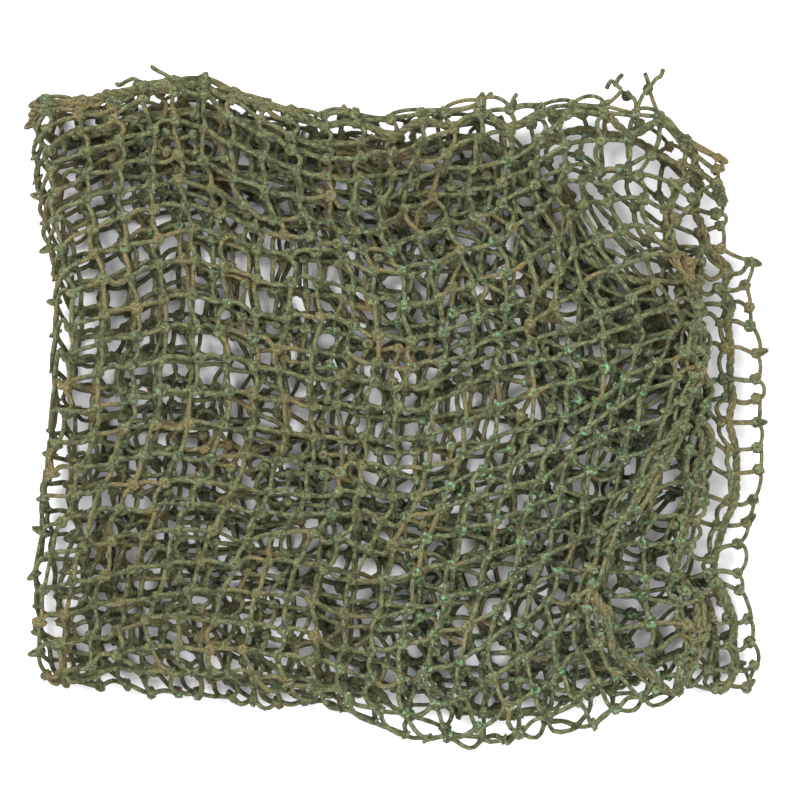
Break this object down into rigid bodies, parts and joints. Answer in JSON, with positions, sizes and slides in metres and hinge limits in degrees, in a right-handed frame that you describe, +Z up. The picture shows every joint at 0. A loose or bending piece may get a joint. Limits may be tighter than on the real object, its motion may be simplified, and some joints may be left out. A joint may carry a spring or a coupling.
{
  "type": "helmet net",
  "caption": "Square-mesh knotted twine net for covering a helmet, with a drawcord through its edge meshes, folded in quarters and lying flat.",
  "frame": {"origin": "centre of the folded net's footprint, on the surface it lies on", "axes": "+X towards the open corded edges opposite the left fold, +Y towards the open corded edges opposite the front fold, +Z up"},
  "size_m": [0.339, 0.3092, 0.0319],
  "materials": {
    "net_twine": "matt olive green cotton twine, flecked with turquoise green at the knots and worn to tan",
    "cord_twine": "matt olive tan three-strand cotton cord"
  },
  "bodies": {
    "root": {"net": "net_twine", "drawcord": "cord_twine"}
  },
  "joints": []
}
